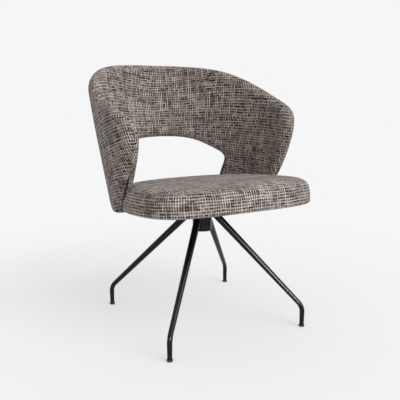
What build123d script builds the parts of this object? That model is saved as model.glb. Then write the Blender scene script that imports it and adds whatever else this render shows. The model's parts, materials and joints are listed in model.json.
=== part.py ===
from build123d import *
import math
import os

# Millimetres. The chair faces -Y, +Z is up and the origin is on the floor under the swivel axis.
# Left and right are those of the person sitting in the chair, so left is +X.

# Clearances
running_gap = 0.05
fit_gap = 0.1
soft_gap = 0.3
hole_gap = 0.25

# Base
hub_outer_radius = 30.0
hub_wall = 3.5
hub_length = 66.0
hub_below_seat = 14.2
leg_foot_radius = 317.0
leg_knee_height = 64.0
leg_line_rise = 25.0
leg_bend_radius = 42.0
leg_radius_at_hub = 11.7
leg_radius_at_knee = 7.5
leg_radius_at_foot = 6.9
leg_wall = 1.8
leg_top_below_hub = 1.0
leg_angles = {"rear_left": 45, "rear_right": 135, "front_right": 225, "front_left": 315}
glide_radius = 8.6
glide_height = 7.0
glide_edge = 1.2
glide_plug_length = 16.0

# Swivel
spindle_radius = 14.0
spindle_reach = 52.0
bush_length = 18.0
bush_flange = 2.0
lower_bush_reach = 41.0
thrust_washer_height = 2.0
collar_radius = 28.0
collar_height = 3.0
boss_radius = 22.0
ring_height = 1.5
ring_groove_depth = 1.2
ring_lip = 3.0
ring_opening = 9.0
spindle_washer_height = 2.0
plug_depth = 8.0
plug_rim = 2.0

# Seat, measured in its own plane, which is pitched with the front up
seat_pitch = 5.3
seat_base_height = 366.2
seat_half_width = 267.0
seat_front = -283.0
seat_rear = 204.0
seat_front_corner = -262.0
seat_rear_corner = 118.0
seat_rear_half_width = 250.0
seat_side_bow = 4.0
seat_corner_radius = 124.0
seat_thickness = 76.5
seat_rim_round = 24.0
seat_base_round = 6.0
board_share = 0.90
board_thickness = 15.0
cover_share = 0.885
cover_thickness = 0.8
cover_cut = 6.0
arm_gap = 0.7
arm_front_bulge = 2.2
board_arm_gap = 3.0
arm_cut_share = 0.1

# Seat plate and its fasteners
plate_side = 180.0
plate_thickness = 5.0
plate_corner = 22.0
plate_hole_spacing = 140.0
bolt_radius = 4.0
bolt_head_across = 13.0
bolt_head_height = 5.3
bolt_length = 19.0
bolt_washer_radius = 8.5
bolt_washer_height = 1.6
tee_nut_radius = 10.0
tee_nut_flange = 1.5
tee_nut_barrel_radius = 5.4
tee_nut_length = 10.0

# Back shell: a cone about an upright axis, cut by an outer edge and by the edge of the opening
shell_radius = 284.2
shell_flare = 0.157
shell_level = 600.0
shell_centre = 31.6
shell_half_thickness = 21.7
shell_bow = 3.0
foot_roll = 12.7
foot_share = 0.12
core_thickness = 12.0
core_inset = 13.0
seam_gap = 0.3
foot_tries = 6
foot_angle_front = 91.0
foot_angle_rear = 47.1
outer_edge_points = ((112.1, 516.7), (115.6, 612.5), (93.6, 676.8), (44.7, 779.0), (0.0, 796.7))
opening_edge_points = ((49.7, 481.3), (40.8, 512.5), (27.6, 538.6), (0.0, 553.2))
shell_stations = (0.0, 0.03, 0.07, 0.12, 0.2, 0.3, 0.4, 0.5, 0.6, 0.7, 0.8, 0.9, 1.0)

# Arm brackets
bracket_angle = 66.0
bracket_inner = 148.0
bracket_outer = 264.0
bracket_width = 62.0
bracket_thickness = 4.0
bracket_corner = 8.0
bracket_hole_spread = 36.0
bracket_board_row = 172.0
screw_radius = 2.5
screw_length = 18.0
screw_head_radius = 5.0
screw_head_height = 2.4

# Levels that hang from the seat's height
hub_top = seat_base_height - hub_below_seat
hub_bottom = hub_top - hub_length
leg_line_top = hub_top + leg_line_rise
spindle_bottom = hub_top - spindle_reach
lower_bush_bottom = hub_top - lower_bush_reach

pitch_slope = math.tan(math.radians(seat_pitch))
seat_plane = Plane(
    origin=(0, 0, seat_base_height),
    x_dir=(1, 0, 0),
    z_dir=(0, math.sin(math.radians(seat_pitch)), math.cos(math.radians(seat_pitch))),
)
seat_place = Location(seat_plane)


def ring(outer, inner, height, bottom):
    """An upright ring standing on the level bottom."""
    profile = Rectangle(outer - inner, height, align=(Align.MIN, Align.MIN))
    return revolve(Plane.XZ * Pos(inner, bottom) * profile, Axis.Z)


def turned(points):
    """A solid of revolution from a closed profile of radius and height."""
    return revolve(make_face(Plane.XZ * Polyline(*points, close=True)), Axis.Z)


# Base


def leg_tube(inset):
    """The leg's round form in the plane of +X, drawn in by inset all round."""
    knee = Vector(leg_foot_radius, 0, leg_knee_height)
    top = Vector(0, 0, leg_line_top)
    slope = (knee - top).normalized()
    turn = math.degrees(math.acos(-slope.Z))
    tangent = leg_bend_radius * math.tan(math.radians(turn / 2))
    bend_bottom = knee - Vector(0, 0, tangent)
    radius_at_knee = leg_radius_at_knee - inset
    taper = (leg_radius_at_hub - leg_radius_at_knee) / ((knee - top).length - hub_outer_radius)
    sloped_length = (knee - top).length - tangent
    radius_at_top = radius_at_knee + taper * sloped_length
    sloped = Solid.make_cone(radius_at_top, radius_at_knee, sloped_length, Plane(top, z_dir=slope))
    bend_axis = Axis(bend_bottom - Vector(leg_bend_radius, 0, 0), (0, -1, 0))
    bend = revolve(Plane(bend_bottom, z_dir=(0, 0, 1)) * Circle(radius_at_knee), bend_axis, turn)
    lower_length = bend_bottom.Z - glide_height
    lower_plane = Plane(bend_bottom, z_dir=(0, 0, -1))
    lower = Solid.make_cone(radius_at_knee, leg_radius_at_foot - inset, lower_length, lower_plane)
    return sloped + bend + lower


def leg(angle):
    """A bent, tapered tube whose upper end is shaped to the hub."""
    upper_room = Pos(0, 0, hub_top - leg_top_below_hub) * Cylinder(
        leg_foot_radius, hub_top, align=(Align.CENTER, Align.CENTER, Align.MIN)
    )
    hub_room = Pos(0, 0, hub_bottom) * Cylinder(
        hub_outer_radius + fit_gap, hub_top, align=(Align.CENTER, Align.CENTER, Align.MIN)
    )
    tube = leg_tube(0) - leg_tube(leg_wall) - upper_room - hub_room
    return Rot(0, 0, angle) * tube


def foot_glide(angle):
    """A plastic glide: a disc on the floor with a plug up inside the leg."""
    plug_radius = leg_radius_at_foot - leg_wall - fit_gap
    plug_top = glide_height + glide_plug_length
    profile = (
        (0, 0),
        (glide_radius - glide_edge, 0),
        (glide_radius, glide_edge),
        (glide_radius, glide_height - glide_edge),
        (leg_radius_at_foot, glide_height - fit_gap),
        (plug_radius, glide_height - fit_gap),
        (plug_radius, plug_top),
        (0, plug_top),
    )
    return Rot(0, 0, angle) * Pos(leg_foot_radius, 0, 0) * turned(profile)


def hub_tube():
    return ring(hub_outer_radius, hub_outer_radius - hub_wall, hub_top - hub_bottom, hub_bottom)


def hub_plug():
    """The cap that closes the hub from below."""
    inner = hub_outer_radius - hub_wall - fit_gap
    cap = Pos(0, 0, hub_bottom - plug_rim) * Cylinder(
        hub_outer_radius, plug_rim, align=(Align.CENTER, Align.CENTER, Align.MIN)
    )
    spigot = Pos(0, 0, hub_bottom) * Cylinder(
        inner, plug_depth, align=(Align.CENTER, Align.CENTER, Align.MIN)
    )
    return cap + spigot


def bush(bottom, flanged):
    """A plain bearing sleeve, with a flange on the hub's end if flanged."""
    outer = hub_outer_radius - hub_wall - fit_gap
    bore = spindle_radius + running_gap
    sleeve = ring(outer, bore, bush_length, bottom)
    if flanged:
        sleeve += ring(hub_outer_radius, bore, bush_flange, bottom + bush_length)
    return sleeve


def lower_bush():
    return bush(lower_bush_bottom, False)


def upper_bush():
    return bush(hub_top - bush_length, True)


# Swivel

washer_bottom = hub_top + bush_flange + running_gap
collar_bottom = washer_bottom + thrust_washer_height
spindle_washer_bottom = lower_bush_bottom - running_gap - spindle_washer_height
ring_bottom = spindle_washer_bottom - ring_height


def thrust_washer():
    return ring(collar_radius, spindle_radius + fit_gap, thrust_washer_height, washer_bottom)


def spindle():
    """The turned steel pin with its collar, cut to the slope of the seat plate."""
    groove_radius = spindle_radius - ring_groove_depth
    collar_top = collar_bottom + collar_height
    boss_top = seat_base_height + plate_thickness
    profile = (
        (0, spindle_bottom),
        (spindle_radius, spindle_bottom),
        (spindle_radius, ring_bottom),
        (groove_radius, ring_bottom),
        (groove_radius, spindle_washer_bottom),
        (spindle_radius, spindle_washer_bottom),
        (spindle_radius, collar_bottom),
        (collar_radius, collar_bottom),
        (collar_radius, collar_top),
        (boss_radius, collar_top),
        (boss_radius, boss_top),
        (0, boss_top),
    )
    room = Box(4 * boss_radius, 4 * boss_radius, plate_side, align=(Align.CENTER, Align.CENTER, Align.MIN))
    return turned(profile) - seat_place * Pos(0, 0, -plate_thickness) * room


def spindle_washer():
    outer = hub_outer_radius - hub_wall - soft_gap
    return ring(outer, spindle_radius + fit_gap, spindle_washer_height, spindle_washer_bottom)


def retaining_ring():
    """An open spring ring in the spindle's groove."""
    inner = spindle_radius - ring_groove_depth + fit_gap
    full = ring(spindle_radius + ring_lip, inner, ring_height - fit_gap, ring_bottom)
    slot_align = (Align.CENTER, Align.MIN, Align.CENTER)
    slot = Box(ring_opening, 2 * spindle_radius, 2 * ring_bottom, align=slot_align)
    return full - slot


# Seat


def seat_outline(share):
    """The seat's plan as a face about its own middle, scaled by share."""
    middle = (seat_front + seat_rear) / 2
    front = seat_front_corner - middle
    rear = seat_rear_corner - middle
    side = seat_half_width - seat_side_bow
    side_middle = (front + rear) / 2
    loop = [
        ThreePointArc((-side, front), (0, seat_front - middle), (side, front)),
        ThreePointArc((side, front), (seat_half_width, side_middle), (seat_rear_half_width, rear)),
        ThreePointArc((seat_rear_half_width, rear), (0, seat_rear - middle), (-seat_rear_half_width, rear)),
        ThreePointArc((-seat_rear_half_width, rear), (-seat_half_width, side_middle), (-side, front)),
    ]
    plan = make_face(loop)
    return scale(fillet(plan.vertices(), seat_corner_radius), share)


def on_seat(shape, height=0.0):
    """A shape drawn in the seat's flat plan, moved to its level in the pitched plane."""
    return seat_place * Pos(0, (seat_front + seat_rear) / 2, height) * shape


def arm_room(gap):
    """The space that each arm takes out of the seat, as far in as the arm's inner face."""
    low = seat_base_height - seat_thickness
    high = seat_base_height + 2 * seat_thickness
    inner = shell_half_thickness + gap
    inside = Solid.make_cone(
        cone_radius(low) - inner, cone_radius(high) - inner, high - low, Plane((0, shell_centre, low))
    )
    side = 4 * seat_half_width
    block = Box(side, side, side, align=(Align.CENTER, Align.MIN, Align.CENTER))
    lean = math.degrees(math.atan2(foot_front.Y - arm_front.Y, arm_front.Z - foot_front.Z))
    ahead = foot_front.Y - gap - arm_front_bulge
    return Pos(0, ahead, foot_front.Z) * Rot(lean, 0, 0) * block - inside


def seat_board():
    """The plywood board under the padding, drilled for the tee nuts and the bracket screws."""
    board = extrude(on_seat(seat_outline(board_share)), board_thickness, dir=seat_plane.z_dir)
    board -= arm_room(board_arm_gap)
    for spot in plate_spots():
        drill = Cylinder(tee_nut_barrel_radius + hole_gap, 4 * board_thickness)
        seat = Cylinder(
            tee_nut_radius + hole_gap, board_thickness, align=(Align.CENTER, Align.CENTER, Align.MIN)
        )
        board -= seat_place * spot * drill
        board -= seat_place * spot * Pos(0, 0, board_thickness - tee_nut_flange - fit_gap) * seat
    for spot in bracket_spots():
        board -= seat_place * spot * Cylinder(screw_radius + hole_gap, 2 * screw_length)
    return board


def seat_cushion():
    """The padded seat: drawn in below, full at the sides and well rounded at the rim."""
    pad = extrude(seat_outline(1), seat_thickness)
    pad = fillet(pad.faces().sort_by(Axis.Z)[-1].edges(), seat_rim_round)
    pad = fillet(pad.faces().sort_by(Axis.Z)[0].edges(), seat_base_round)
    tray_share = board_share + soft_gap / abs(seat_front)
    tray = extrude(seat_outline(tray_share), board_thickness + soft_gap)
    return on_seat(pad - tray) - arm_room(arm_gap)


def dust_cover():
    """The thin lining under the board, cut out round the plate and the brackets."""
    plan = on_seat(seat_outline(cover_share), -cover_thickness - fit_gap)
    lining = extrude(plan, cover_thickness, dir=seat_plane.z_dir)
    plate_room = Box(plate_side + 2 * cover_cut, plate_side + 2 * cover_cut, board_thickness)
    lining -= seat_place * plate_room
    lining -= arm_room(board_arm_gap)
    for side in (1, -1):
        room = Box(
            bracket_outer,
            bracket_width + 2 * cover_cut,
            board_thickness,
            align=(Align.MIN, Align.CENTER, Align.CENTER),
        )
        lining -= seat_place * bracket_frame(side) * Pos(bracket_inner - cover_cut, 0, 0) * room
    return lining


def plate_spots():
    """The four bolt places of the seat plate, in the seat's plane."""
    return GridLocations(plate_hole_spacing, plate_hole_spacing, 2, 2)


def seat_plate():
    """The square steel plate on the spindle."""
    plan = RectangleRounded(plate_side, plate_side, plate_corner)
    plate = extrude(plan, -plate_thickness)
    for spot in plate_spots():
        plate -= spot * Cylinder(bolt_radius + hole_gap, 4 * plate_thickness)
    return seat_place * plate


def hex_bolt():
    """A hexagon bolt standing head down under the plate and its washer."""
    seat = -plate_thickness - bolt_washer_height
    head = extrude(RegularPolygon(bolt_head_across / 2, 6, major_radius=False), -bolt_head_height)
    shank = Cylinder(bolt_radius, bolt_length, align=(Align.CENTER, Align.CENTER, Align.MIN))
    return Pos(0, 0, seat) * (head + shank)


def bolt_washer():
    bottom = -plate_thickness - bolt_washer_height
    return ring(bolt_washer_radius, bolt_radius + hole_gap, bolt_washer_height, bottom)


def tee_nut():
    """A flanged nut let into the board's top."""
    flange_bottom = board_thickness - tee_nut_flange - fit_gap
    bore = bolt_radius + fit_gap
    flange = ring(tee_nut_radius, bore, tee_nut_flange, flange_bottom)
    barrel = ring(tee_nut_barrel_radius, bore, tee_nut_length, flange_bottom - tee_nut_length)
    return flange + barrel


def at_plate_spots(shape):
    return Compound([seat_place * spot * shape for spot in plate_spots()])


# Arm brackets


def bracket_frame(side):
    """The place of one bracket: its +X runs outwards through the middle of the arm's foot."""
    angle = 90 - bracket_angle if side > 0 else 90 + bracket_angle
    return Pos(0, shell_centre) * Rot(0, 0, angle)


def bracket_spots():
    """The eight screw places of the two brackets, in the seat's plane."""
    arm_row = cone_radius(foot_front.Z)
    rows = (bracket_board_row, arm_row)
    half = bracket_hole_spread / 2
    places = [Pos(row, across, 0) for row in rows for across in (-half, half)]
    return [bracket_frame(side) * place for side in (1, -1) for place in places]


def arm_bracket(side):
    """A flat steel strap that ties the arm's foot to the seat board."""
    length = bracket_outer - bracket_inner
    middle = Pos((bracket_inner + bracket_outer) / 2, 0)
    plan = middle * RectangleRounded(length, bracket_width, bracket_corner)
    strap = bracket_frame(side) * extrude(plan, -bracket_thickness)
    for spot in bracket_spots():
        strap -= spot * Cylinder(screw_radius + hole_gap, 4 * bracket_thickness)
    return seat_place * strap


def bracket_screws():
    """All eight bracket screws, heads below."""
    head = ring(screw_head_radius, 0, screw_head_height, -bracket_thickness - screw_head_height)
    shank = ring(screw_radius, 0, screw_length, -bracket_thickness)
    return Compound([seat_place * spot * (head + shank) for spot in bracket_spots()])


# Back shell


def cone_radius(height):
    """The shell's middle radius at a height."""
    return shell_radius + shell_flare * (height - shell_level)


def shell_point(girth, height):
    """A point of the shell's middle surface, from its distance round the back and its height."""
    angle = girth / shell_radius
    radius = cone_radius(height)
    return Vector(radius * math.sin(angle), shell_centre + radius * math.cos(angle), height)


def foot_point(angle):
    """The flat (girth, height) place where the arm at this angle meets the seat's base plane."""
    turn = math.radians(angle)
    height = seat_base_height
    for _ in range(foot_tries):
        rear = shell_centre + cone_radius(height) * math.cos(turn)
        height = seat_base_height - pitch_slope * rear
    return (turn * shell_radius, height)


def flat_edge(foot_angle, points):
    """An edge of the shell laid out flat, from the left foot over the back to the right foot."""
    left = [foot_point(foot_angle)]
    left += [(math.radians(angle) * shell_radius, height) for angle, height in points]
    right = [(-girth, height) for girth, height in reversed(left[:-1])]
    return Spline(*left, *right)


def edge_point(edge, share):
    """The flat place at this share of the way from an arm's foot to the back's middle."""
    return edge @ (share / 2)


outer_edge = flat_edge(foot_angle_front, outer_edge_points)
opening_edge = flat_edge(foot_angle_rear, opening_edge_points)
foot_front = shell_point(*foot_point(foot_angle_front))
arm_front = shell_point(edge_point(outer_edge, arm_cut_share).X, edge_point(outer_edge, arm_cut_share).Y)


class Section:
    """One cross-section of the shell, bent round from the opening's edge to the outer edge."""

    def __init__(self, share, side):
        low = edge_point(opening_edge, share)
        high = edge_point(outer_edge, share)
        start = shell_point(low.X, low.Y)
        end = shell_point(high.X, high.Y)
        middle = shell_point((low.X + high.X) / 2, (low.Y + high.Y) / 2)
        chord = end - start
        along = chord.normalized()
        radial = Vector(middle.X, middle.Y - shell_centre, 0)
        if share == 0:
            radial -= seat_plane.z_dir * radial.dot(seat_plane.z_dir)
        out = (radial - along * radial.dot(along)).normalized()
        rise = (middle - start).dot(out) + shell_bow * share
        self.radius = (chord.length**2 / 4 + rise**2) / (2 * rise)
        self.centre = start + chord / 2 + out * (rise - self.radius)
        self.along = along
        self.out = out
        self.side = side
        self.end_angle = math.asin(chord.length / 2 / self.radius)
        unrolled = max(0, 1 - share / foot_share)
        self.outer_half = shell_half_thickness - foot_roll * (1 - math.sqrt(1 - unrolled**2))

    def at(self, end, inset, offset):
        """The point inset along the bend from one end (+1 outer, -1 opening), offset from the middle."""
        angle = end * (self.end_angle - inset / self.radius)
        reach = self.radius + offset
        point = self.centre + self.along * (reach * math.sin(angle)) + self.out * (reach * math.cos(angle))
        return Vector(self.side * point.X, point.Y, point.Z)

    def arch(self, inset, offset):
        """An arc along the bend at one offset, from the opening's end to the outer end."""
        return Edge.make_three_point_arc(
            self.at(-1, inset, offset), self.at(0, 0, offset), self.at(1, inset, offset)
        )

    def pad(self, face):
        """The outline of the outer (+1) or inner (-1) padding, with a step for the core."""
        half = face * (self.outer_half if face > 0 else shell_half_thickness)
        rim = face * seam_gap / 2
        bed = face * (core_thickness / 2 + soft_gap)
        cap = shell_half_thickness
        edges = [self.arch(cap, half)]
        for end in (1, -1):
            tip = self.at(end, 0, rim)
            crest = self.at(end, cap * (1 - math.sqrt(0.5)), half * math.sqrt(0.5))
            ledge = self.at(end, core_inset, rim)
            edges.append(Edge.make_three_point_arc(self.at(end, cap, half), crest, tip))
            edges.append(Edge.make_line(tip, ledge))
            edges.append(Edge.make_line(ledge, self.at(end, core_inset, bed)))
        edges.append(self.arch(core_inset, bed))
        return Wire(edges)

    def core(self):
        """The outline of the bent plywood."""
        inset = core_inset + soft_gap
        half = core_thickness / 2
        ends = [
            Edge.make_line(self.at(end, inset, -half), self.at(end, inset, half)) for end in (1, -1)
        ]
        return Wire([self.arch(inset, half), self.arch(inset, -half)] + ends)


def shell_sections():
    """The sections from the left arm's foot, over the back, to the right arm's foot."""
    left = [Section(share, 1) for share in shell_stations]
    right = [Section(share, -1) for share in reversed(shell_stations[:-1])]
    return left + right


def back_outer_pad():
    return Solid.make_loft([section.pad(1) for section in shell_sections()])


def back_inner_pad():
    return Solid.make_loft([section.pad(-1) for section in shell_sections()])


def back_core():
    """The bent plywood inside the back and arms, drilled for the bracket screws."""
    core = Solid.make_loft([section.core() for section in shell_sections()])
    for spot in bracket_spots():
        core -= seat_place * spot * Cylinder(screw_radius + hole_gap, 2 * screw_length)
    return core


nodes = {
    "hub_tube": hub_tube(),
    "hub_plug": hub_plug(),
    "lower_bush": lower_bush(),
    "upper_bush": upper_bush(),
    "thrust_washer": thrust_washer(),
    "spindle": spindle(),
    "spindle_washer": spindle_washer(),
    "retaining_ring": retaining_ring(),
    "seat_plate": seat_plate(),
    "seat_plate_bolts": at_plate_spots(hex_bolt()),
    "seat_plate_washers": at_plate_spots(bolt_washer()),
    "tee_nuts": at_plate_spots(tee_nut()),
    "seat_board": seat_board(),
    "seat_cushion": seat_cushion(),
    "dust_cover": dust_cover(),
    "arm_bracket_left": arm_bracket(1),
    "arm_bracket_right": arm_bracket(-1),
    "bracket_screws": bracket_screws(),
    "back_core": back_core(),
    "back_outer_pad": back_outer_pad(),
    "back_inner_pad": back_inner_pad(),
}
for corner, angle in leg_angles.items():
    nodes["leg_" + corner] = leg(angle)
    nodes["foot_glide_" + corner] = foot_glide(angle)

os.makedirs("parts", exist_ok=True)
for name, shape in nodes.items():
    export_step(shape, f"parts/{name}.step")
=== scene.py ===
import json
import math

import bmesh
import bpy
import numpy as np
from mathutils import Matrix, Vector


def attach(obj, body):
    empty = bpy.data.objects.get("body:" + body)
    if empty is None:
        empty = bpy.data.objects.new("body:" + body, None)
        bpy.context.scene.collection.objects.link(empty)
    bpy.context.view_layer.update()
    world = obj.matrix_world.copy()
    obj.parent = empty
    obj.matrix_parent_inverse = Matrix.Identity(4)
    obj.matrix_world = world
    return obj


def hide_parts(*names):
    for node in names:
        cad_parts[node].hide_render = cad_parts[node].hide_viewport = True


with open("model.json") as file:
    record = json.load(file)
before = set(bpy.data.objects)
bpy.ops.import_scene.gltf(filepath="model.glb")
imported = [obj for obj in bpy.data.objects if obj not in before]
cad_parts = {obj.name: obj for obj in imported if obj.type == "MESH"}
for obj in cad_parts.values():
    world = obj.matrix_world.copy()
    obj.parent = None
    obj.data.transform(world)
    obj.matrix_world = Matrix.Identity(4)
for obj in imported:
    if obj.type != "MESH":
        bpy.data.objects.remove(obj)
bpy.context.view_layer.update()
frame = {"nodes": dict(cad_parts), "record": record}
nodes = frame["nodes"]

# Metres, in the frame of the solids: the chair faces -Y and stands on the floor at the origin.

# Back shell: a cone about an upright axis, cut by an outer edge and by the edge of the opening.
# An edge point is an angle in degrees from the back's middle and a height.
shell_radius = 0.2842
shell_flare = 0.157
shell_level = 0.600
shell_centre = 0.0316
shell_half = 0.0217
shell_bow = 0.003
foot_angles = {"outer": 91.0, "opening": 45.0}
foot_tries = 6
edge_points = {
    "outer": ((112.1, 0.5167), (115.6, 0.6125), (93.6, 0.6768), (44.7, 0.7790), (0.0, 0.7967)),
    "opening": ((48.9, 0.4470), (50.5, 0.4755), (40.8, 0.5118), (27.6, 0.5386), (0.0, 0.5532)),
}
foot_share = 0.045
foot_least_half = 0.0172
foot_drop = 0.0046

# Rings of the shell's covers, as shares of the way from the left foot to the right one, closer together at
# the feet; the middle rings are given as first, last and count. The columns are the points of a ring.
foot_rings = (0, 0.002, 0.004, 0.007, 0.010, 0.014, 0.018, 0.023, 0.028, 0.034)
middle_rings = (0.04, 0.96, 231)
face_columns = 61
rim_columns = 16
back_columns = 7
back_past_face = 0.4
cover_back = 0.0004

# Seams of the shell's covers. They stand open near the feet, up to a share of the way to the back's middle.
seam_lean = math.radians(17)
seam_half_angle = math.radians(4)
seam_depth = 0.0060
seam_dips = (0.35, 0.7, 1.0)
seam_dip_arc = 0.3
seam_least_open = 0.12
# Where a seam is open more than this, its depth is painted near black: painted shade for the gap.
seam_painted_shade_open = 0.5
seam_open_share = 0.17
seam_open_fade = 0.03
opening_seam_lean = math.radians(-66)
opening_seam_share = 0.37
opening_seam_fade = 0.06

# Lie of the cloth on the shell
swirl_start = math.radians(40)
swirl_run = 0.5
swirl_turn = math.radians(15)
swirl_middle = (0.40, 0.60)
sag_depth = 0.028
sag_reach = 0.26
sag_levels = (0.54, 0.78)

# Seat, in its own plane pitched with the front up. A profile point is an inset from the plan and a height.
seat_pitch = math.radians(5.3)
seat_up = np.array([0, math.sin(seat_pitch), math.cos(seat_pitch)])
seat_base = 0.3662
seat_middle = -0.0309
seat_half_width = 0.267
seat_front_depth = 0.250
seat_rear_depth = 0.232
seat_front_power = 4.0
seat_rear_power = 2.2
seat_profile = (
    (0.0340, 0.0010),
    (0.0160, 0.0003),
    (0.0050, 0.0010),
    (0.0006, 0.0055),
    (0.0, 0.0150),
    (0.0, 0.0280),
    (0.0015, 0.0405),
    (0.0060, 0.0550),
    (0.0155, 0.0657),
    (0.0315, 0.0728),
    (0.0540, 0.0766),
    (0.0780, 0.0780),
)
seat_crown = 0.0042
seat_crest = 0.0640
seat_columns = 560
seat_side_rows = 46
seat_top_rows = 34
seat_least_ring = 0.03
outline_samples = 4001

# Seat beside the arms
arm_gap = 0.0012
arm_edge_share = 0.12
arm_edge_samples = 40
arm_edge_blend = 0.004
arm_groove_depth = 0.007
arm_groove_reach = 0.012
arm_groove_level = 0.03
arm_tuck = 0.008
arm_tuck_reach = 0.090
arm_tuck_power = 6

# Cloth: warp threads run up it and weft rows across it. Widths are shares of the pitch.
warp_pitch = 0.0069
weft_pitch = 0.0080
# The back and the seat are one cloth. The back's brown rows are wider, so its cloth is darker than the
# seat's: painted shade on the back.
shaded_back_row_half = 0.36
seat_row_half = 0.29
row_blur = 0.08
warp_least_half = 0.11
warp_more_half = 0.06
warp_blur = (-0.06, 0.10)
over_drift = 0.8
over_level = 0.62
wander_scale = 24.0
wander_reach = 0.0060
pale_yarn = (0.70, 0.616, 0.556)
beige_yarn = (0.48, 0.408, 0.366)
taupe_yarn = (0.085, 0.066, 0.058)
brown_yarn = (0.020, 0.014, 0.011)
# Near black painted deep in the seams: painted shade standing for the shadow in the gap between the covers.
seam_painted_shade = (0.004, 0.004, 0.004)
brown_least = 0.64
pale_least = 0.35
band_share = 0.40
fibre_share = 0.20
fibre_scale = 1900.0
weft_height = 0.8
fibre_height = 0.3
width_draw = 3.0

# Changes of tone over the cloth: the step in the noise for each thread across and along, and the slice of the
# noise. A step over 4 makes neighbouring threads differ.
drifts = {
    "warp": (5.17, 0.15, 0.0),
    "weft": (0.16, 5.31, 7.0),
    "ground": (0.13, 4.73, 13.0),
    "warp_band": (0.15, 0.03, 21.0),
    "weft_band": (0.04, 0.19, 29.0),
    "streak": (0.60, 0.40, 41.0),
}

# Levels between which a tone goes from none to full
tone_levels = {
    "brown": (0.34, 0.54),
    "pale": (0.36, 0.62),
    "beige": (0.30, 0.56),
    "bands": (1.32, 1.72),
    "fibre": (0.40, 0.75),
    # seam: where the painted seam shade goes from none to full
    "seam": (0.2, 0.9),
}

# Picture. A lamp has a strength, a spread in degrees and a side. The last entry says whether it lights matt
# surfaces; if not, it only shows in gloss.
photo_side = 400
focal_pixels = 521.76
sensor_width = 36.0
camera_tilt = 0.196598
camera_turn = math.radians(29)
camera_distance = 1.61524
camera_aim = (-0.00691, 0.0, 0.37735)
backdrop_tone = 0.9216
sky_level = 0.61
lamps = {
    "key": (2.10, 50, (0.42, -0.90, 0.60), True),
    "streak": (3.00, 7, (-0.21, -0.93, 0.26), False),
}
floor_radius = 3.0
floor_sides = 96
floor_tone = 0.93
floor_clear = 0.5
floor_fade = (0.5, 1.5)


# Shapes


def smooth_curve(points):
    """A natural cubic spline through the points, spaced by chord length; returns its sampler on 0 to 1."""
    points = np.asarray(points, float)
    knots = np.r_[0, np.cumsum(np.linalg.norm(np.diff(points, axis=0), axis=1))]
    knots /= knots[-1]
    step = np.diff(knots)[:, None]
    slope = np.diff(points, axis=0) / step
    system = np.diag(np.r_[1, 2 * (step[:-1] + step[1:])[:, 0], 1])
    system += np.diag(np.r_[step[:-1, 0], 0], -1) + np.diag(np.r_[0, step[1:, 0]], 1)
    bend = np.linalg.solve(system, np.pad(6 * np.diff(slope, axis=0), ((1, 1), (0, 0))))

    def sample(share):
        k = np.clip(np.searchsorted(knots, share, side="right") - 1, 0, len(step) - 1)
        near = (np.asarray(share) - knots[k])[..., None]
        rise = slope[k] - step[k] * (2 * bend[k] + bend[k + 1]) / 6
        change = (bend[k + 1] - bend[k]) / (6 * step[k])
        return points[k] + near * (rise + near * (bend[k] / 2 + near * change))

    return sample


def unit(vectors):
    return vectors / np.linalg.norm(vectors, axis=-1, keepdims=True)


def dot(a, b):
    return (a * b).sum(-1, keepdims=True)


def eased(share):
    """The share held to 0 to 1, with a soft start and end."""
    share = np.clip(share, 0, 1)
    return share * share * (3 - 2 * share)


def surface(name, points, cloth, seam, material, body):
    """A closed tube from a grid of points whose rows are rings.

    Cloth is the flat cloth place of each corner, and seam is 1 where a point lies deep in a seam; there the
    cloth is painted near black as shade.
    """
    rows, columns = points.shape[:2]
    row, column = np.meshgrid(np.arange(rows - 1), np.arange(columns), indexing="ij")
    corners = ((row, column), (row, column + 1), (row + 1, column + 1), (row + 1, column))
    quads = np.stack([r * columns + c % columns for r, c in corners], -1).reshape(-1, 4)
    patches = np.stack([r * (columns + 1) + c for r, c in corners], -1).reshape(-1)
    first_ring = np.arange(columns)
    last_ring = first_ring + (rows - 1) * columns
    last_patch = first_ring + (rows - 1) * (columns + 1)
    faces = quads.tolist() + [first_ring[::-1].tolist(), last_ring.tolist()]
    patches = np.r_[patches, first_ring[::-1], last_patch]
    mesh = bpy.data.meshes.new(name)
    mesh.from_pydata(points.reshape(-1, 3), [], faces)
    layer = mesh.uv_layers.new(name="cloth")
    layer.data.foreach_set("uv", cloth.reshape(-1, 2)[patches].astype(np.float32).ravel())
    depth = mesh.attributes.new("seam", "FLOAT", "POINT")
    depth.data.foreach_set("value", seam.astype(np.float32).ravel())
    mesh.polygons.foreach_set("use_smooth", np.ones(len(faces), bool))
    work = bmesh.new()
    work.from_mesh(mesh)
    bmesh.ops.recalc_face_normals(work, faces=work.faces)
    work.to_mesh(mesh)
    work.free()
    piece = bpy.data.objects.new(name, mesh)
    bpy.context.scene.collection.objects.link(piece)
    mesh.materials.append(material)
    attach(piece, body)
    return piece


def cone_radius(height):
    """The radius of the shell's middle surface, which grows evenly with height."""
    return shell_radius + shell_flare * (height - shell_level)


def shell_point(flat):
    """The place on the shell's middle surface of a flat (girth, height) point."""
    angle = flat[..., 0] / shell_radius
    radius = cone_radius(flat[..., 1])
    return np.stack([radius * np.sin(angle), shell_centre + radius * np.cos(angle), flat[..., 1]], -1)


def shell_edge(which):
    """An edge of the shell laid flat, a smooth curve from the left foot over the back to the right foot.

    A foot stands on the seat's pitched base; its height is found by turns with the cone's radius there.
    """
    turn = math.radians(foot_angles[which])
    height = seat_base
    for _ in range(foot_tries):
        height = seat_base - math.tan(seat_pitch) * (shell_centre + cone_radius(height) * math.cos(turn))
    left = [(turn * shell_radius, height)]
    left += [(math.radians(angle) * shell_radius, level) for angle, level in edge_points[which]]
    return smooth_curve(left + [(-girth, level) for girth, level in left[-2::-1]])


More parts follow.
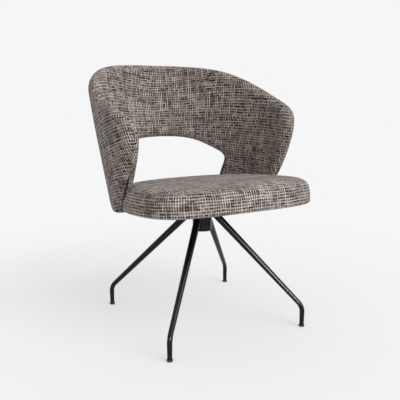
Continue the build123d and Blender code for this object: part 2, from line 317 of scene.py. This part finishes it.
class Shell:
    """Cross-sections of the shell as arcs from the opening's edge to the outer edge, one for each share."""

    def __init__(self, share):
        self.low = shell_edge("opening")(share)
        self.high = shell_edge("outer")(share)
        start, end = shell_point(self.low), shell_point(self.high)
        middle = shell_point((self.low + self.high) / 2)
        self.from_foot = 1 - np.abs(1 - 2 * share)[:, None]
        chord = end - start
        self.along = unit(chord)
        radial = middle * (1, 1, 0) - (0, shell_centre, 0)
        at_foot = self.from_foot < 1e-6
        radial = radial - at_foot * seat_up * dot(radial, seat_up)
        self.out = unit(radial - self.along * dot(radial, self.along))
        rise = dot(middle - start, self.out) + shell_bow * self.from_foot
        half_chord = np.linalg.norm(chord, axis=-1, keepdims=True) / 2
        self.radius = (half_chord**2 + rise**2) / (2 * rise)
        self.centre = (start + end) / 2 + self.out * (rise - self.radius)
        self.half_length = self.radius * np.arcsin(half_chord / self.radius)

    def at(self, along, offset):
        """Points at an arc length from the section's middle and an offset from its middle surface."""
        angle = (along / self.radius)[..., None]
        reach = (self.radius + offset)[..., None]
        across = self.along[:, None] * np.sin(angle) + self.out[:, None] * np.cos(angle)
        return self.centre[:, None] + reach * across

    def cloth(self, along):
        """The flat cloth place at an arc length from the section's middle, run on past the edges."""
        middle = (self.low + self.high)[:, None] / 2
        return middle + (self.high - self.low)[:, None] * (along / (2 * self.half_length))[..., None]


def swirled(cloth):
    """Turns the flat cloth on the arms, more towards their front edges, about a point on each arm."""
    side = np.sign(cloth[..., :1])
    ahead = np.abs(cloth[..., :1]) - swirl_middle[0]
    above = cloth[..., 1:] - swirl_middle[1]
    start = swirl_start * shell_radius
    turn = swirl_turn * np.clip((ahead + swirl_middle[0] - start) / (swirl_run * shell_radius), 0, 1)
    across = swirl_middle[0] + ahead * np.cos(turn) + above * np.sin(turn)
    along = swirl_middle[1] - ahead * np.sin(turn) + above * np.cos(turn)
    return np.concatenate([side * across, along], -1)


def sagged(cloth):
    """Lets the rows sag to the middle of the back, more towards its top edge."""
    aside = np.clip(np.abs(cloth[..., 0]) / sag_reach, 0, 1)
    above = (cloth[..., 1] - sag_levels[0]) / (sag_levels[1] - sag_levels[0])
    sag = sag_depth * (1 - np.cos(math.pi * aside)) / 2 * eased(above)
    return cloth - np.stack([0 * sag, sag], -1)


def shell_cover(name, face, material):
    """The padded cover on one face of the shell (+1 outer, -1 inner).

    Each ring runs along the face, round the rolled outer edge to the seam, down into the seam, back along
    the shell's middle and up again at the opening's edge. On the lower arms the seam stands open; it leans
    to the outer side on the outer edge and to the inner side at the opening's ends. At the arms' feet the
    outer face rolls inwards.
    """
    foot = np.array(foot_rings)
    share = np.r_[foot, np.linspace(*middle_rings), 1 - foot[::-1]]
    shell = Shell(share)
    unrolled = np.clip(1 - shell.from_foot / foot_share, 0, 1)
    outer_half = shell_half - (shell_half - foot_least_half) * (1 - np.sqrt(1 - unrolled**2))
    inner_half = shell_half + 0 * outer_half
    own_half, other_half = (outer_half, inner_half) if face > 0 else (inner_half, outer_half)
    dip = np.array(seam_dips)[None]

    def rim(lean, open_seam):
        """Along, off and arc parts of the round edge down to the seam and into it."""
        last = seam_half_angle * open_seam + face * lean
        turn = math.pi / 2 + (last - math.pi / 2) * np.linspace(0, 1, rim_columns + 1)[None, 1:]
        sink = 1 - dip * open_seam * seam_depth / shell_half
        along = np.concatenate([np.cos(turn), np.cos(last) * sink], 1)
        lift = np.concatenate([np.sin(turn), np.sin(last) * sink], 1)
        arc = math.pi / 2 - np.concatenate([turn, last - seam_dip_arc * dip], 1)
        half = np.where(lift < 0, other_half, own_half)
        return along * shell_half, lift * half, arc * shell_half

    open_seam = np.clip((seam_open_share - shell.from_foot) / seam_open_fade, seam_least_open, 1)
    outer_along, outer_lift, outer_arc = rim(seam_lean, open_seam)
    open_end = np.clip((opening_seam_share - shell.from_foot) / opening_seam_fade, 0, 1)
    open_rim = rim(opening_seam_lean * open_end, np.clip(open_end, seam_least_open, 1))
    open_along, open_lift, open_arc = [values[:, ::-1] for values in open_rim]
    straight = np.linspace(-1, 1, face_columns)[None] + 0 * share[:, None]
    back = np.linspace(1, -1, back_columns + 2)[None, 1:-1] + 0 * share[:, None]
    one = np.ones_like(outer_along)
    main = shell.half_length - shell_half
    inner = main + back_past_face * shell_half
    reach = np.concatenate([main * straight, main * one, inner * back, -main * one], 1)
    extra = np.concatenate([0 * straight, outer_along, 0 * back, -open_along], 1)
    lift = np.concatenate([0 * straight + own_half, outer_lift, 0 * back + cover_back, open_lift], 1)
    arc = np.concatenate([0 * straight, outer_arc, 0 * back, -open_arc], 1)
    points = shell.at(reach + extra, face * lift)
    points = points - seat_up * (foot_drop * unrolled**2)[..., None]
    # Painted shade: points deep in a seam, and the ring's run back along the shell's middle, are marked to be
    # painted near black for the shadow in the seam; on the outer edge this happens only where the seam stands
    # open.
    rim_painted_shade = np.r_[np.zeros(rim_columns - 1), np.ones(1 + len(seam_dips))]
    painted_shade = np.r_[np.zeros(face_columns), rim_painted_shade, np.ones(back_columns), rim_painted_shade[::-1]]
    at_outer_edge = np.arange(len(painted_shade)) < face_columns + len(rim_painted_shade)
    seam = painted_shade * np.where(at_outer_edge, open_seam > seam_painted_shade_open, 1)
    cloth = shell.cloth(reach + arc)
    cloth = swirled(cloth) if face > 0 else sagged(cloth)
    cloth = np.concatenate([cloth, cloth[:, :1]], 1)
    piece = surface(name, points, cloth, seam, material, "seat")
    return piece


def seat_outline():
    """The seat's plan round its middle: a superellipse, squarer in front than behind, evenly spaced
    from the rear middle; its outward directions and its girth come with it."""
    turn = np.linspace(0, 2 * math.pi, outline_samples)
    behind = np.sin(turn) > 0
    power = 2 / np.where(behind, seat_rear_power, seat_front_power)
    depth = np.where(behind, seat_rear_depth, seat_front_depth)
    x = seat_half_width * np.sign(np.cos(turn)) * np.abs(np.cos(turn)) ** power
    y = depth * np.sign(np.sin(turn)) * np.abs(np.sin(turn)) ** power
    length = np.r_[0, np.cumsum(np.hypot(np.diff(x), np.diff(y)))]
    start = np.interp(math.pi / 2, turn, length)
    even = (start + np.linspace(0, length[-1], seat_columns, endpoint=False)) % length[-1]
    plan = np.stack([np.interp(even, length, x), np.interp(even, length, y)], -1)
    along = np.roll(plan, -1, 0) - np.roll(plan, 1, 0)
    return plan, unit(np.stack([along[:, 1], -along[:, 0]], -1)), length[-1]


def beside_arms(points):
    """Draws points behind the arms' front edges in to the arms' inner faces and dips the top along them.
    Just ahead of the arms the seat's sides are tucked in a little."""
    edge = shell_point(shell_edge("outer")(np.linspace(0, arm_edge_share, arm_edge_samples)))
    front = np.interp(points[..., 2], edge[:, 2], edge[:, 1])
    away = points[..., :2] - (0, shell_centre)
    radius = np.linalg.norm(away, axis=-1)
    limit = cone_radius(points[..., 2]) - shell_half - arm_gap
    behind = eased((points[..., 1] - front) / arm_edge_blend + 0.5)
    ahead = eased((front - points[..., 1]) / arm_tuck_reach)
    outside = np.clip(np.abs(points[..., 0]) / seat_half_width, 0, 1) ** arm_tuck_power
    drawn = radius - arm_tuck * outside * (1 - ahead)
    held = drawn + (np.minimum(drawn, limit) - drawn) * behind
    near = np.exp(-np.clip(limit - held, 0, None) / arm_groove_reach) * behind
    dip = arm_groove_depth * near * (points[..., 2] > seat_base + arm_groove_level)
    plan = (0, shell_centre) + away * (held / radius)[..., None]
    return np.concatenate([plan, points[..., 2:] - dip[..., None]], -1)


def seat_cover(name, material):
    """The padded seat: rings drawn in from the plan by the side profile, then shrinking to a crowned top.

    Behind the arms' front edges the rings stay inside the arms' inner faces, with a groove along them. The
    cloth runs round the side as a band, and lies flat on the top and over the crest.
    """
    plan, outward, girth = seat_outline()
    profile = smooth_curve(seat_profile)(np.linspace(0, 1, seat_side_rows))
    inset, height = profile[:, 0], profile[:, 1]
    length = np.r_[0, np.cumsum(np.hypot(np.diff(inset), np.diff(height)))]
    rim = length[-1] - length
    rings = plan - outward * inset[:, None, None]
    flat = plan + outward * (rim - inset[-1])[:, None, None]
    shrink = np.linspace(1, seat_least_ring, seat_top_rows)[1:, None, None]
    rings = np.concatenate([rings, rings[-1] * shrink])
    flat = np.concatenate([flat, flat[-1] * shrink])
    crown = seat_crown * (1 - shrink[:, 0] ** 2)
    height = np.r_[height, height[-1] + crown[:, 0]]
    x, y = rings[..., 0], rings[..., 1] + seat_middle
    up = np.broadcast_to(height[:, None], x.shape)
    sine, cosine = math.sin(seat_pitch), math.cos(seat_pitch)
    points = np.stack([x, y * cosine + up * sine, seat_base - y * sine + up * cosine], -1)
    points = beside_arms(points)
    top = np.concatenate([flat, flat[:, :1]], 1)
    side = np.stack(np.broadcast_arrays(
        np.linspace(-0.5, 0.5, len(plan) + 1) * girth,
        (inset[-1] - rim - seat_front_depth)[:, None],
    ), -1)
    below = (height[: len(rim)] < seat_crest)[:, None, None]
    cloth = np.concatenate([np.where(below, side, top[: len(rim)]), top[len(rim) :]])
    piece = surface(name, points, cloth, 0 * points[..., 0], material, "seat")
    return piece


# Finishes


class Value:
    """A shader socket with arithmetic; each operation adds one Math node."""

    def __init__(self, finish, socket):
        self.finish = finish
        self.socket = socket

    def math(self, operation, *others):
        inputs = dict(enumerate((self,) + others))
        return self.finish.node("ShaderNodeMath", {"operation": operation}, inputs)

    def __add__(self, other):
        return self.math("ADD", other)

    __radd__ = __add__

    def __sub__(self, other):
        return self.math("SUBTRACT", other)

    def __rsub__(self, other):
        return (self * -1).math("ADD", other)

    def __mul__(self, other):
        return self.math("MULTIPLY", other)

    __rmul__ = __mul__

    def __truediv__(self, other):
        return self.math("DIVIDE", other)

    def floor(self):
        return self.math("FLOOR")

    def part(self):
        return self.math("FRACT")

    def size(self):
        return self.math("ABSOLUTE")

    def above(self, level):
        return self.math("GREATER_THAN", level)

    def most(self, other):
        return self.math("MAXIMUM", other)

    def between(self, low, high):
        """0 at low and below, 1 at high and above, eased between."""
        settings = {"interpolation_type": "SMOOTHSTEP"}
        return self.finish.node("ShaderNodeMapRange", settings, {0: self, 1: low, 2: high})


class Finish:
    """A node tree with one method that adds any node, and short forms of the common ones."""

    def __init__(self, name, owner=None):
        self.owner = owner or bpy.data.materials.new(name)
        self.owner.use_nodes = True
        self.tree = self.owner.node_tree
        self.tree.nodes.clear()

    def node(self, kind, settings=None, sockets=None, output=0):
        """Adds a node, sets its settings, then its sockets, and returns one of its outputs."""
        made = self.tree.nodes.new(kind)
        for name, value in (settings or {}).items():
            setattr(made, name, value)
        for name, value in (sockets or {}).items():
            if isinstance(value, Value):
                self.tree.links.new(value.socket, made.inputs[name])
            else:
                made.inputs[name].default_value = value
        return Value(self, made.outputs[output]) if len(made.outputs) else made

    def place(self):
        return self.node("ShaderNodeTexCoord", {}, {}, "Object")

    def vector(self, x, y, z=0.0):
        return self.node("ShaderNodeCombineXYZ", {}, {0: x, 1: y, 2: z})

    def vector_math(self, operation, sockets, output=0):
        return self.node("ShaderNodeVectorMath", {"operation": operation}, sockets, output)

    def mix(self, share, first, second):
        first, second = [c if isinstance(c, Value) else (*c, 1) for c in (first, second)]
        return self.node("ShaderNodeMix", {"data_type": "RGBA"}, {0: share, 6: first, 7: second}, 2)

    def noise(self, place, scale, detail=2.0, roughness=0.5):
        sockets = {"Vector": place, "Scale": scale, "Detail": detail, "Roughness": roughness}
        return self.node("ShaderNodeTexNoise", {"noise_dimensions": "3D"}, sockets)

    def chance(self, x, y):
        """A steady random number from 0 to 1 for each whole x and y."""
        settings = {"noise_dimensions": "2D"}
        return self.node("ShaderNodeTexWhiteNoise", settings, {"Vector": self.vector(x, y)})

    def bump(self, height, strength, distance):
        return self.node("ShaderNodeBump", {}, {"Strength": strength, "Distance": distance, "Height": height})

    def surface(self, sockets):
        shader = self.node("ShaderNodeBsdfPrincipled", {}, sockets)
        self.node("ShaderNodeOutputMaterial", {}, {"Surface": shader})
        return self.owner


def woven_upholstery(name, row_half):
    """Coarse tweed: rows of brown dashes crossed by pale lengthwise threads on a beige ground.

    A thread's tone drifts along its length and threads wander a little. At some crossings the pale thread
    passes under, which leaves a longer brown dash. Bands of threads both ways are darker than others.
    Row_half is half the height of the brown rows as a share of their pitch.
    """
    cloth = Finish(name)
    flat = cloth.node("ShaderNodeUVMap", {"uv_map": "cloth"})
    wander = cloth.node("ShaderNodeTexNoise", {}, {"Vector": flat, "Scale": wander_scale, "Detail": 2.0}, 1)
    wander = cloth.vector_math("SUBTRACT", {0: wander, 1: (0.5, 0.5, 0.5)})
    wander = cloth.vector_math("SCALE", {0: wander, "Scale": wander_reach})
    place = cloth.vector_math("ADD", {0: flat, 1: wander})
    across = cloth.node("ShaderNodeSeparateXYZ", {}, {0: place}, 0) / warp_pitch
    along = cloth.node("ShaderNodeSeparateXYZ", {}, {0: place}, 1) / weft_pitch
    warp, weft = across.floor(), along.floor()
    warp_off = (across.part() - 0.5).size()
    weft_off = (along.part() - 0.5).size()

    def drift(which, x, y):
        """A slow change of tone, about 0.5 in the mean."""
        x_step, y_step, slice_level = drifts[which]
        return cloth.noise(cloth.vector(x * x_step, y * y_step, slice_level), scale=1.0, detail=1.0)

    warp_drift = drift("warp", warp, along)
    weft_drift = drift("weft", across, weft)
    ground_drift = drift("ground", across, (along + 0.5).floor())
    warp_band = drift("warp_band", across, along)
    weft_band = drift("weft_band", across, along)
    bands = warp_band + weft_band + drift("streak", across, along)
    warp_half = warp_least_half + warp_more_half * cloth.chance(warp, width_draw)
    warp_cover = 1 - (warp_off - warp_half).between(*warp_blur)
    weft_cover = 1 - weft_off.between(row_half - row_blur, row_half + row_blur)
    warp_over = (cloth.chance(warp, weft) + warp_drift * over_drift).above(over_level)
    brown = weft_cover * (brown_least + (1 - brown_least) * weft_drift.between(*tone_levels["brown"]))
    pale = warp_cover * (1 - weft_cover * (1 - warp_over))
    pale = pale * (pale_least + (1 - pale_least) * warp_drift.between(*tone_levels["pale"]))
    ground = cloth.mix(ground_drift.between(*tone_levels["beige"]), taupe_yarn, beige_yarn)
    tone = cloth.mix(pale, cloth.mix(brown, ground, brown_yarn), pale_yarn)
    tone = cloth.mix(bands.between(*tone_levels["bands"]) * band_share, tone, taupe_yarn)
    fibre = cloth.noise(flat, scale=fibre_scale, detail=2.0)
    tone = cloth.mix(fibre.between(*tone_levels["fibre"]) * fibre_share, tone, taupe_yarn)
    # Painted shade: deep in the seams the cloth turns near black, for the shadow in the gaps between the
    # covers.
    seam = cloth.node("ShaderNodeAttribute", {"attribute_name": "seam"}, {}, "Fac")
    tone = cloth.mix(seam.between(*tone_levels["seam"]), tone, seam_painted_shade)
    height = (warp_cover * warp_over).most(weft_cover * weft_height)
    return cloth.surface({
        "Base Color": tone,
        "Roughness": 0.92,
        "Normal": cloth.bump(height + fibre * fibre_height, strength=0.5, distance=0.0014),
        "Specular IOR Level": 0.15,
        "Sheen Weight": 0.12,
        "Sheen Roughness": 0.45,
    })


def black_coat():
    """Smooth black powder coat with a fine grain."""
    coat = Finish("black_coat")
    place = coat.place()
    grain = coat.noise(place, scale=900.0, detail=3.0)
    cloud = coat.noise(place, scale=18.0, detail=2.0)
    return coat.surface({
        "Base Color": coat.mix(cloud, (0.004, 0.004, 0.0043), (0.008, 0.008, 0.0084)),
        "Roughness": 0.17 + cloud * 0.05 + grain * 0.03,
        "Normal": coat.bump(grain, strength=0.05, distance=0.0002),
        "Specular IOR Level": 0.20,
    })


def black_nylon():
    """Moulded black plastic, duller than the coat."""
    nylon = Finish("black_nylon")
    grain = nylon.noise(nylon.place(), scale=500.0, detail=2.0)
    return nylon.surface({
        "Base Color": nylon.mix(grain, (0.012, 0.012, 0.012), (0.022, 0.022, 0.022)),
        "Roughness": 0.50 + grain * 0.15,
        "Normal": nylon.bump(grain, strength=0.15, distance=0.0003),
    })


def plated_steel():
    """Zinc-plated steel, a little cloudy."""
    steel = Finish("plated_steel")
    cloud = steel.noise(steel.place(), scale=320.0, detail=3.0)
    return steel.surface({
        "Base Color": steel.mix(cloud, (0.46, 0.46, 0.45), (0.60, 0.60, 0.58)),
        "Metallic": 1.0,
        "Roughness": 0.30 + cloud * 0.18,
    })


def plywood():
    """Pale plywood with long grain."""
    wood = Finish("plywood")
    stretched = wood.node("ShaderNodeMapping", {}, {"Vector": wood.place(), "Scale": (4.0, 40.0, 40.0)})
    grain = wood.noise(stretched, scale=6.0, detail=5.0, roughness=0.6)
    return wood.surface({
        "Base Color": wood.mix(grain, (0.42, 0.28, 0.16), (0.62, 0.47, 0.31)),
        "Roughness": 0.60 + grain * 0.20,
        "Normal": wood.bump(grain, strength=0.2, distance=0.0004),
    })


def black_lining():
    """Non-woven black lining with a field of pressed dots."""
    lining = Finish("black_lining")
    place = lining.place()
    dots = lining.node("ShaderNodeTexVoronoi", {}, {"Vector": place, "Scale": 420.0, "Randomness": 0.25})
    fluff = lining.noise(place, scale=240.0, detail=4.0)
    return lining.surface({
        "Base Color": lining.mix(fluff, (0.012, 0.012, 0.013), (0.030, 0.030, 0.031)),
        "Roughness": 0.95,
        "Normal": lining.bump(dots, strength=0.4, distance=0.0006),
    })


def dress_nodes():
    """Gives each solid that stays its finish, by the material slot in the record."""
    finishes = {
        "frame_black": black_coat(),
        "nylon": black_nylon(),
        "steel": plated_steel(),
        "plywood": plywood(),
        "lining": black_lining(),
    }
    for entry in frame["record"]["subparts"]:
        finish = finishes.get(entry["material_slot"])
        if finish:
            mesh = nodes[entry["node"]].data
            mesh.materials.clear()
            mesh.materials.append(finish)


# Camera, light and floor


def add_camera():
    """The photograph's view: tilted down, from the front and the sitter's right."""
    sine, cosine = math.sin(camera_turn), math.cos(camera_turn)
    turn = Matrix(((cosine, sine, 0), (-sine, cosine, 0), (0, 0, 1)))
    back = Vector((0, -math.cos(camera_tilt), math.sin(camera_tilt)))
    right = Vector((1, 0, 0))
    place = Vector(camera_aim) + back * camera_distance
    axes = Matrix([turn @ right, turn @ back.cross(right), turn @ back]).transposed()
    lens = bpy.data.cameras.new("camera")
    lens.sensor_width = sensor_width
    lens.lens = focal_pixels / photo_side * sensor_width
    camera = bpy.data.objects.new("camera", lens)
    camera.matrix_world = Matrix.Translation(turn @ place) @ axes.to_4x4()
    bpy.context.scene.collection.objects.link(camera)
    bpy.context.scene.camera = camera


def add_light():
    """An even sky, a broad lamp from the picture's right above the camera, and a small lamp beside the
    camera that shows only as the bright streaks on the legs."""
    world = bpy.data.worlds.new("studio")
    bpy.context.scene.world = world
    sky = Finish("studio", world)
    seen = sky.node("ShaderNodeLightPath", {}, {}, "Is Camera Ray")
    mirrored = sky.node("ShaderNodeLightPath", {}, {}, "Is Glossy Ray")
    through = sky.node("ShaderNodeLightPath", {}, {}, "Is Transmission Ray")
    shown = seen.most(mirrored).most(through)
    level = sky_level + shown * (backdrop_tone - sky_level)
    background = sky.node("ShaderNodeBackground", {}, {"Color": (1, 1, 1, 1), "Strength": level})
    sky.node("ShaderNodeOutputWorld", {}, {"Surface": background})
    for name, (strength, spread, side, on_matt) in lamps.items():
        light = bpy.data.lights.new(name, "SUN")
        light.energy = strength
        light.angle = math.radians(spread)
        lamp = bpy.data.objects.new(name, light)
        lamp.rotation_euler = Vector(side).to_track_quat("Z", "Y").to_euler()
        lamp.visible_diffuse = on_matt
        bpy.context.scene.collection.objects.link(lamp)


def add_floor():
    """A pale floor, half clear so that its shadow is light, that fades into the backdrop round the chair."""
    ring = np.linspace(0, 2 * math.pi, floor_sides, endpoint=False)
    rim = np.stack([np.cos(ring), np.sin(ring), 0 * ring], -1) * floor_radius
    mesh = bpy.data.meshes.new("floor")
    mesh.from_pydata(rim, [], [list(range(len(ring)))])
    floor = bpy.data.objects.new("floor", mesh)
    bpy.context.scene.collection.objects.link(floor)
    paper = Finish("floor_paper")
    far = paper.vector_math("LENGTH", {0: paper.place()}, 1)
    diffuse = paper.node("ShaderNodeBsdfDiffuse", {}, {"Color": (floor_tone, floor_tone, floor_tone, 1)})
    clear = paper.node("ShaderNodeBsdfTransparent")
    share = floor_clear + (1 - floor_clear) * far.between(*floor_fade)
    shader = paper.node("ShaderNodeMixShader", {}, {0: share, 1: diffuse, 2: clear})
    paper.node("ShaderNodeOutputMaterial", {}, {"Surface": shader})
    mesh.materials.append(paper.owner)


# The back's copy of the cloth is darker than the seat's because of its wider brown rows: painted shade.
shaded_back_weave = woven_upholstery("shaded_back_weave", shaded_back_row_half)
outer_cover = shell_cover("back_outer_cover", 1, shaded_back_weave)
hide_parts("back_outer_pad")
inner_cover = shell_cover("back_inner_cover", -1, shaded_back_weave)
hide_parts("back_inner_pad")
seat_top = seat_cover("seat_cover", woven_upholstery("seat_weave", seat_row_half))
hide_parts("seat_cushion")
dress_nodes()
add_camera()
add_light()
add_floor()
bpy.context.scene.view_settings.view_transform = "Standard"
